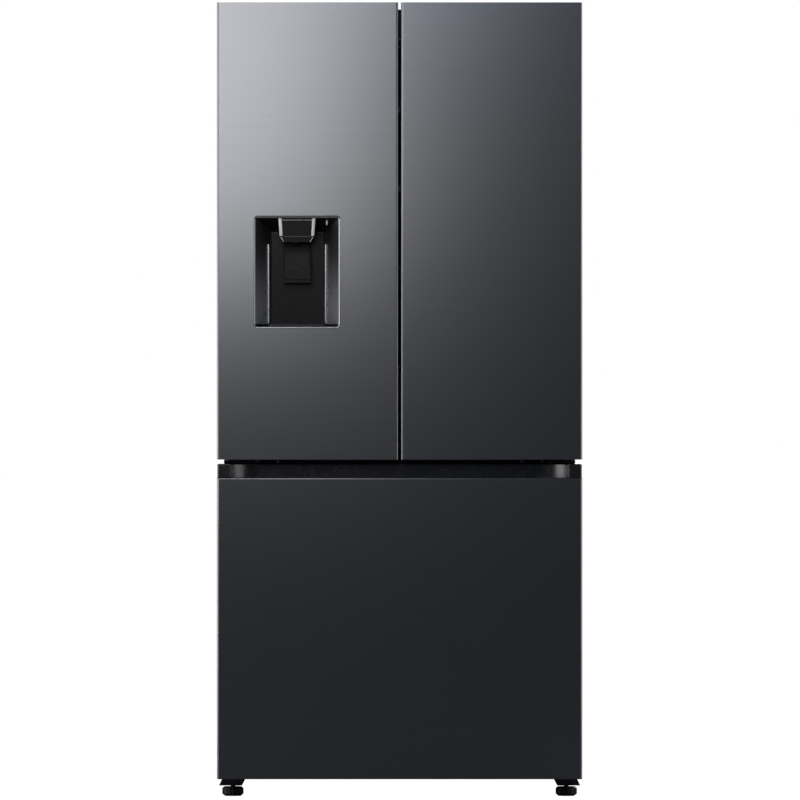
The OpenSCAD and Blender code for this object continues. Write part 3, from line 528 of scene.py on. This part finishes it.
def frame_pieces():
    """Dispenser frame with a crest at its outer edge and a face that slopes into the recess."""
    lo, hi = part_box("dispenser_frame")
    center = ((lo[0] + hi[0]) / 2, (lo[2] + hi[2]) / 2)
    half = ((hi[0] - lo[0]) / 2, (hi[2] - lo[2]) / 2)
    section = [(0.0000, 0.0040), (0.0000, 0.0006), (0.0003, 0.0001), (0.0008, 0.0000), (0.0019, 0.0001),
               (0.0037, 0.0013), (0.0039, 0.0018), (0.0039, 0.0040)]
    bm = bmesh.new()
    rings = []
    for inward, depth in section:
        outline = round_rect(center, (half[0] - inward, half[1] - inward), 0.0099 - inward)
        rings.append([bm.verts.new((x, lo[1] + depth, z)) for x, z in outline])
    count = len(rings[0])
    for low, high in zip(rings, rings[1:] + rings[:1]):
        for k in range(count):
            n = (k + 1) % count
            bm.faces.new((low[k], low[n], high[n], high[k]))
    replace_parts(add_piece("dispenser_bezel", bm, "frame_metal", "left_door"), "dispenser_frame")


def cheek_pieces():
    """Satin side walls of the recess with painted light low down and painted shade high up, each ending at a
    bright metal strip that is a painted highlight of the corner; and lighter grey strips that are a painted
    highlight where the ceiling meets the back.
    """
    lo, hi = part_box("dispenser_frame")
    house_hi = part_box("dispenser_housing")[1]
    mid, back = (lo[0] + hi[0]) / 2, house_hi[1] - 0.003
    mouth, corner, sheet = 0.0932, 0.0635, 0.0007
    bm = bmesh.new()
    for side in (-1, 1):
        faces = []
        for skin in (0.0004, 0.0004 + sheet):
            line = [(mouth - skin, lo[1] + 0.0062), (corner - skin, back - 0.0072)]
            faces.append([(mid + side * x, y) for x, y in line])
        prism(bm, faces[0] + faces[1][::-1], lo[2] + 0.0090, house_hi[2] - 0.006, axis=2)
    add_piece("recess_cheeks", bm, "cheek", "left_door")
    # bright metal strips at the back corners: a painted highlight standing for the shine on the curved
    # corners
    strips = bmesh.new()
    for side in (-1, 1):
        ends = sorted((mid + side * 0.0620, mid + side * 0.0670))
        soft_box(strips, (ends[0], back - 0.0155, lo[2] + 0.0095),
                 (ends[1], back - 0.0060, house_hi[2] - 0.062), 0.0018)
    add_piece("recess_corner_highlight_strips", strips, "corner_highlight_metal", "left_door")
    # lighter grey strips where the ceiling meets the back wall: a painted highlight of that fillet
    bead = bmesh.new()
    for side in (-1, 1):
        ends = sorted((mid + side * 0.0445, mid + side * 0.0600))
        soft_box(bead, (ends[0], back - 0.0024, house_hi[2] - 0.0372),
                 (ends[1], back - 0.0003, house_hi[2] - 0.0350), 0.0009)
    add_piece("recess_highlight_strips", bead, "trim_grey", "left_door")


def dispenser_pieces():
    """Trim of the spout, the recess's brow, a glowing lens that is a painted highlight of the recess corner,
    and the nozzle.
    """
    lo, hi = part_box("dispenser_spout")
    mid, face = (lo[0] + hi[0]) / 2, lo[1]
    frame_lo, frame_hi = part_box("dispenser_frame")
    top = frame_hi[2] - 0.0042
    shoulder, tip = lo[2] + 0.013, lo[2]
    trims, lips = bmesh.new(), bmesh.new()
    for side in (-1, 1):
        bar = [(0.0422, top), (0.0340, top), (0.0318, shoulder + 0.001), (0.0388, shoulder + 0.0005)]
        lip = [(0.0376, shoulder - 0.0008), (0.0350, shoulder - 0.0008), (0.0286, tip + 0.0012),
               (0.0300, tip + 0.0004)]
        prism(trims, [(mid + side * x, z) for x, z in bar], face - 0.0012, face + 0.002)
        prism(lips, [(mid + side * x, z) for x, z in lip], face - 0.0008, face + 0.002)
    add_piece("spout_trims", trims, "trim_metal", "left_door", 0.0008)
    add_piece("spout_lip_trims", lips, "trim_metal", "left_door", 0.0004)
    for name, look, z, half in (("spout_line_top", "trim_metal", top - 0.006, 0.0335),
                                ("spout_line_foot", "trim_grey", shoulder, 0.0315)):
        line = bmesh.new()
        soft_box(line, (mid - half, face - 0.0009, z - 0.0009),
                 (mid + half, face + 0.002, z + 0.0009), 0.0006)
        add_piece(name, line, look, "left_door")
    brow = bmesh.new()
    soft_box(brow, (frame_lo[0] + 0.0045, frame_lo[1] + 0.0004, top - 0.0016),
             (frame_hi[0] - 0.0045, frame_lo[1] + 0.0075, top + 0.0020), 0.0008)
    add_piece("dispenser_brow", brow, "trim_grey", "left_door")
    # small glowing lens at the top right of the recess: a painted highlight standing for the corner's
    # reflection
    lens = bmesh.new()
    soft_box(lens, (mid + 0.0652, face + 0.010, top - 0.0168),
             (mid + 0.0682, face + 0.016, top - 0.0053), 0.0012)
    add_piece("dispenser_glow_highlight", lens, "lens", "left_door")
    nozzle = bmesh.new()
    lathe(nozzle, [(0.0046, -0.006), (0.0074, -0.006), (0.0082, -0.004), (0.0092, 0.002), (0.0046, 0.002)],
          (mid, (lo[1] + hi[1]) / 2 + 0.0115, lo[2]), steps=40)
    add_piece("spout_nozzle", nozzle, "gloss_black", "left_door")


def lever_pieces():
    """Rubber pad on the paddle, with a ring and ribs, leaning as the paddle does."""
    lo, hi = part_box("dispenser_lever")
    mid = (lo[0] + hi[0]) / 2
    lean = Matrix.Rotation(math.radians(-LEVER_LEAN), 4, "X")
    pivot = Vector((mid, hi[1] - 0.0025, hi[2] - 0.0025))
    pad, ring = bmesh.new(), bmesh.new()
    soft_box(pad, (-0.0285, -0.0042, -0.0865), (0.0285, -0.0016, -0.0045), 0.0012)
    for k in range(4):
        soft_box(pad, (-0.024, -0.0049, -0.083 + 0.0045 * k), (0.024, -0.0038, -0.081 + 0.0045 * k), 0.0005)
    lathe(ring, [(0.0075, -0.0038), (0.0075, -0.0050), (0.0092, -0.0050), (0.0092, -0.0038)],
          (0, 0, -0.055), "y")
    for bm in (pad, ring):
        bmesh.ops.transform(bm, matrix=Matrix.Translation(pivot) @ lean, verts=bm.verts)
    add_piece("lever_pad", pad, "soft_rubber", "dispenser_lever_body")
    add_piece("lever_ring", ring, "niche_plastic", "dispenser_lever_body", 0.0003)


# ---------- compartments ----------


def shelf_pieces():
    """Satin trim along each shelf's front edge, with end clips."""
    for lo, hi in islands(NODES["shelf_frames"]):
        trim, clips = bmesh.new(), bmesh.new()
        height = round(lo[2] * 1000)
        soft_box(trim, (lo[0] + 0.014, lo[1] - 0.0022, lo[2] + 0.0015),
                 (hi[0] - 0.014, lo[1] + 0.001, hi[2] - 0.0005), 0.0012)
        for x in (lo[0] + 0.002, hi[0] - 0.013):
            soft_box(clips, (x, lo[1] - 0.0028, lo[2] + 0.0005),
                     (x + 0.011, lo[1] + 0.004, hi[2] + 0.0008), 0.0012)
        add_piece(f"shelf_trim_{height}", trim, "satin_metal", "cabinet")
        add_piece(f"shelf_clips_{height}", clips, "white_plastic", "cabinet")


def bin_pieces(node, body):
    """A rounded bead and a grip band around the open top of each door bin."""
    for number, (lo, hi) in enumerate(islands(NODES[node])):
        back, out, inset = lo[1] + 0.006, hi[1], 0.0016
        front = (lo[0] + 0.0405, hi[0] - 0.0405)
        z, low = hi[2] + 0.0002, hi[2] - 0.0222
        path = [(lo[0] + inset, back, z), (lo[0] + inset, out - inset, z), (front[0] - 0.004, out - inset, z),
                (front[0] - 0.0005, out - inset, low), (front[1] + 0.0005, out - inset, low),
                (front[1] + 0.004, out - inset, z), (hi[0] - inset, out - inset, z), (hi[0] - inset, back, z)]
        tube(f"{node}_bead_{number}", [fillet(path, 0.012)], 0.0021, "bin_edge", body)


def crisper_pieces(node, body):
    """Humidity slider in its track, and a grip bar under the lip."""
    lo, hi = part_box(node)
    mid, face = (lo[0] + hi[0]) / 2, lo[1] + 0.013
    z = hi[2] - 0.050
    track, knob, bar = bmesh.new(), bmesh.new(), bmesh.new()
    soft_box(track, (mid - 0.045, face - 0.0022, z - 0.007), (mid + 0.045, face + 0.001, z + 0.007), 0.0018)
    soft_box(knob, (mid - 0.010, face - 0.0062, z - 0.0052), (mid + 0.010, face - 0.0018, z + 0.0052), 0.0018)
    for x in (-0.004, 0, 0.004):
        soft_box(knob, (mid + x - 0.0007, face - 0.0070, z - 0.004),
                 (mid + x + 0.0007, face - 0.0056, z + 0.004), 0.0005)
    soft_box(bar, (lo[0] + 0.042, lo[1] - 0.0008, hi[2] - 0.0245),
             (hi[0] - 0.042, lo[1] + 0.0042, hi[2] - 0.0165), 0.0016)
    add_piece(f"{node}_slider_track", track, "white_plastic", body)
    add_piece(f"{node}_slider_knob", knob, "grey_plastic", body)
    add_piece(f"{node}_grip", bar, "satin_metal", body)


def light_bars():
    """Slim light bars up both walls of the fresh food space, ahead of the shelves."""
    lo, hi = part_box("fridge_liner")
    wall = 0.003
    foot, head = 0.880, 1.640
    front, rear = -0.206, -0.184
    rim = 0.005
    for side, x in (("left", lo[0] + wall), ("right", hi[0] - wall)):
        step = 1 if side == "left" else -1
        housing, lens = bmesh.new(), bmesh.new()
        ends = sorted((x - step * 0.0005, x + step * 0.0035))
        soft_box(housing, (ends[0], front, foot), (ends[1], rear, head), 0.0014)
        ends = sorted((x + step * 0.0030, x + step * 0.0052))
        soft_box(lens, (ends[0], front + 0.0045, foot + rim), (ends[1], rear - 0.0045, head - rim), 0.0010)
        add_piece(f"light_bar_{side}", housing, "white_plastic", "cabinet")
        add_piece(f"light_lens_{side}", lens, "lamp", "cabinet")


def console_pieces():
    """Touch keys and small indicator lenses on the underside of the ceiling console."""
    lo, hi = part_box("ceiling_console")
    keys, lights = bmesh.new(), bmesh.new()
    for k in range(4):
        x, y = lo[0] + 0.122 + 0.024 * k, hi[1] - 0.030
        lathe(keys, [(0, -0.0013), (0.0060, -0.0010), (0.0078, 0.0002), (0.0078, 0.0015)],
              (x, y, lo[2]), steps=36)
        soft_box(lights, (x - 0.003, y - 0.0155, lo[2] - 0.0008),
                 (x + 0.003, y - 0.0135, lo[2] + 0.001), 0.0005)
    add_piece("console_keys", keys, "trim_grey", "cabinet")
    add_piece("console_lights", lights, "lens", "cabinet")


def tank_pieces():
    """Raised level marks on the water tank."""
    lo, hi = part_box("water_tank")
    marks = bmesh.new()
    for k, length in enumerate((0.018, 0.028, 0.018, 0.028)):
        z = lo[2] + 0.030 + 0.030 * k
        soft_box(marks, (lo[0] + 0.030, hi[1] - 0.0008, z),
                 (lo[0] + 0.030 + length, hi[1] + 0.0007, z + 0.0014), 0.0004)
    add_piece("tank_marks", marks, "grey_plastic", "left_door")


def basket_pieces():
    """Grip pads on the basket's rim and a grip strip on the upper tray."""
    lo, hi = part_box("freezer_basket")
    pads = bmesh.new()
    for x in (lo[0] + 0.060, hi[0] - 0.160):
        soft_box(pads, (x, lo[1] - 0.0006, hi[2] - 0.011),
                 (x + 0.100, lo[1] + 0.0058, hi[2] + 0.0012), 0.0018)
    add_piece("basket_pads", pads, "grey_plastic", "freezer_drawer")
    lo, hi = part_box("upper_tray")
    grip = bmesh.new()
    half = 0.118
    soft_box(grip, (-half, lo[1] - 0.0012, hi[2] - 0.0135), (half, lo[1] + 0.0058, hi[2] - 0.0062), 0.0018)
    add_piece("tray_grip", grip, "grey_plastic", "upper_tray_body")


# ---------- machine space and fasteners ----------


def pipe_pieces():
    """Discharge, suction and process pipes of the compressor, and the condenser's return bends."""
    lo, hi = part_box("compressor")
    coil_lo, coil_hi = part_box("condenser")
    mid_x, mid_y = (lo[0] + hi[0]) / 2, (lo[1] + hi[1]) / 2
    discharge = [(mid_x + 0.018, mid_y - 0.050, hi[2] - 0.002), (mid_x + 0.018, mid_y - 0.050, hi[2] + 0.018),
                 (mid_x + 0.130, mid_y - 0.066, hi[2] + 0.018), (mid_x + 0.130, mid_y - 0.066, hi[2] - 0.040)]
    suction = [(mid_x - 0.018, mid_y - 0.050, hi[2] - 0.012), (mid_x - 0.018, mid_y - 0.050, hi[2] + 0.034),
               (mid_x - 0.150, mid_y - 0.050, hi[2] + 0.034)]
    process = [(mid_x - 0.070, mid_y + 0.030, lo[2] + 0.120), (mid_x - 0.100, mid_y + 0.040, lo[2] + 0.120),
               (mid_x - 0.100, mid_y + 0.040, lo[2] + 0.170)]
    pipes = [fillet(path, 0.016) for path in (discharge, suction, process)]
    tube("compressor_pipes", pipes, 0.0031, "copper", "cabinet")
    pitch, bends = 0.026, []
    for row in range(5):
        for x, out in ((coil_lo[0], -1), (coil_hi[0], 1)):
            if (row % 2) == (out > 0):
                z = coil_lo[2] + 0.013 + pitch * row
                y = coil_hi[1] - 0.013
                inner, outer = x - out * 0.002, x + out * 0.013
                bend = [(inner, y, z), (outer, y, z), (outer, y, z + pitch), (inner, y, z + pitch)]
                bends.append(fillet(bend, 0.013, 8))
    tube("condenser_bends", bends, 0.0031, "coil_steel", "cabinet")


def screw_head(bm, center, axis, out, radius, height):
    """Adds a domed head with a cross recess cut into its top."""
    steps = 32
    a, b = [i for i in range(3) if i != axis]

    def put(u, v, h):
        co = [0.0, 0.0, 0.0]
        co[axis], co[a], co[b] = center[axis] + out * h, center[a] + u, center[b] + v
        return bm.verts.new(co)

    def circle(r, h):
        turns = [2 * math.pi * k / steps for k in range(steps)]
        return [put(r * math.cos(turn), r * math.sin(turn), h) for turn in turns]

    arm, half = radius * 0.55, radius * 0.13
    cross = [(arm, half), (half, half), (half, arm), (-half, arm), (-half, half), (-arm, half),
             (-arm, -half), (-half, -half), (-half, -arm), (half, -arm), (half, -half), (arm, -half)]
    rings = [circle(radius * 0.98, 0.0), circle(radius, height * 0.35), circle(radius * 0.88, height * 0.78),
             circle(radius * 0.68, height)]
    mouth = [put(u, v, height) for u, v in cross]
    floor = [put(u * 0.8, v * 0.8, height * 0.35) for u, v in cross]
    bm.faces.new(rings[0])
    for low, high in zip(rings, rings[1:]):
        for k in range(steps):
            n = (k + 1) % steps
            bm.faces.new((low[k], low[n], high[n], high[k]))
    corners = len(cross)
    for k in range(corners):
        n = (k + 1) % corners
        bm.faces.new((mouth[k], mouth[n], floor[n], floor[k]))
    bm.faces.new(floor)
    rim = [bm.edges.get((rings[-1][k], rings[-1][(k + 1) % steps])) for k in range(steps)]
    slot = [bm.edges.get((mouth[k], mouth[(k + 1) % corners])) for k in range(corners)]
    bmesh.ops.triangle_fill(bm, use_beauty=True, edges=rim + slot)


def screw_pieces():
    """Cross-recess heads in place of the plain CAD heads, no higher than they are."""
    heads = bmesh.new()
    for lo, hi in islands(NODES["screws"]):
        size = hi - lo
        axis = min(range(3), key=lambda i: abs(size[(i + 1) % 3] - size[(i + 2) % 3]))
        radius = size[(axis + 1) % 3] / 2
        center = (lo + hi) / 2
        out = -1 if axis == 1 and center[1] < 0 else 1
        height = min(0.0026, size[axis] * 0.8)
        center[axis] = (hi[axis] if out > 0 else lo[axis]) - out * height
        screw_head(heads, center, axis, out, radius, height)
    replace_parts(add_piece("screw_heads", heads, "zinc", "cabinet"), "screws")


# ---------- stage, light and camera ----------


def emit_or(name, color, strength, other):
    """Stage material: plain light for the camera, and a dimmer diffuse surface for every other ray."""
    mat = bpy.data.materials.new(name)
    mat.use_nodes = True
    nodes, links = mat.node_tree.nodes, mat.node_tree.links
    nodes.clear()
    emit = nodes.new("ShaderNodeEmission")
    emit.inputs["Color"].default_value = (*color, 1)
    emit.inputs["Strength"].default_value = strength
    diffuse = nodes.new("ShaderNodeBsdfDiffuse")
    diffuse.inputs["Color"].default_value = (*other, 1)
    add = nodes.new("ShaderNodeAddShader")
    mix = nodes.new("ShaderNodeMixShader")
    path = nodes.new("ShaderNodeLightPath")
    out = nodes.new("ShaderNodeOutputMaterial")
    links.new(emit.outputs[0], add.inputs[0])
    links.new(diffuse.outputs[0], add.inputs[1])
    links.new(path.outputs["Is Camera Ray"], mix.inputs["Fac"])
    links.new(diffuse.outputs[0], mix.inputs[1])
    links.new(add.outputs[0], mix.inputs[2])
    links.new(mix.outputs[0], out.inputs["Surface"])
    return mat


def make_stage():
    """Pale floor, and a world that is white to the camera and dim to everything else."""
    mesh = bpy.data.meshes.new("floor")
    mesh.from_pydata([(-40, -40, 0), (40, -40, 0), (40, 80, 0), (-40, 80, 0)], [], [(0, 1, 2, 3)])
    floor = bpy.data.objects.new("floor", mesh)
    bpy.context.scene.collection.objects.link(floor)
    mesh.materials.append(emit_or("floor_white", (1, 1, 1), 1.0, (0.10, 0.105, 0.115)))
    world = bpy.data.worlds.new("studio")
    bpy.context.scene.world = world
    world.use_nodes = True
    nodes, links = world.node_tree.nodes, world.node_tree.links
    back = nodes["Background"]
    path = nodes.new("ShaderNodeLightPath")
    mix = nodes.new("ShaderNodeMix")
    mix.data_type = "RGBA"
    mix.inputs["A"].default_value = (0.031, 0.037, 0.047, 1)
    mix.inputs["B"].default_value = (1, 1, 1, 1)
    links.new(path.outputs["Is Camera Ray"], mix.inputs["Factor"])
    links.new(mix.outputs["Result"], back.inputs["Color"])
    back.inputs["Strength"].default_value = 1.0


def area_light(name, place, target, size, power, color=(1, 1, 1)):
    """Adds a rectangular light at a place, turned to its target."""
    data = bpy.data.lights.new(name, "AREA")
    data.shape = "RECTANGLE"
    data.size, data.size_y = size
    data.energy = power
    data.color = color
    obj = bpy.data.objects.new(name, data)
    obj.location = place
    obj.rotation_euler = (Vector(target) - Vector(place)).to_track_quat("-Z", "Y").to_euler()
    bpy.context.scene.collection.objects.link(obj)


def make_lights():
    """Two lights reflected in the doors, one soft light at each side, one above and one behind."""
    front = CAD_BOX[0][1]
    area_light("key", (-0.56, front - 1.6, 1.87), (-0.56, front, 1.87), (0.84, 1.25), 9.0, (1.0, 0.995, 1.0))
    area_light("key_side", (0.05, front - 1.6, 2.10), (0.05, front, 2.10), (0.30, 0.40), 0.55,
               (0.80, 0.93, 1.20))
    area_light("left_soft", (-2.2, -0.7, 1.0), (0, -0.7, 1.0), (2.2, 2.4), 40)
    area_light("right_soft", (2.2, -0.7, 1.0), (0, -0.7, 1.0), (2.2, 2.4), 22)
    area_light("top", (0, 0.6, 4.2), (0, 0.2, 1.2), (2, 2), 60)
    area_light("back", (1.2, 4.0, 2.4), (0, 0.3, 0.9), (3, 2.5), 110)


def make_camera():
    """Camera far away and straight ahead, with a long lens."""
    data = bpy.data.cameras.new("camera")
    obj = bpy.data.objects.new("camera", data)
    bpy.context.scene.collection.objects.link(obj)
    front = CAD_BOX[0][1]
    obj.location = (CAMERA_PLACE[0], front - CAMERA_DISTANCE, CAMERA_PLACE[1])
    obj.rotation_euler = (math.radians(90), 0, 0)
    data.sensor_width = SENSOR_WIDTH
    data.lens = SENSOR_WIDTH * CAMERA_DISTANCE / VIEW_WIDTH
    data.clip_end = 200
    bpy.context.scene.camera = obj
    bpy.context.scene.view_settings.view_transform = "Standard"


dress_cad()
frame_pieces()
cheek_pieces()
dispenser_pieces()
lever_pieces()
shelf_pieces()
bin_pieces("left_door_bins", "left_door")
bin_pieces("right_door_bins", "right_door")
crisper_pieces("crisper_left", "crisper_left_body")
crisper_pieces("crisper_right", "crisper_right_body")
light_bars()
console_pieces()
tank_pieces()
basket_pieces()
pipe_pieces()
screw_pieces()
make_stage()
make_lights()
make_camera()
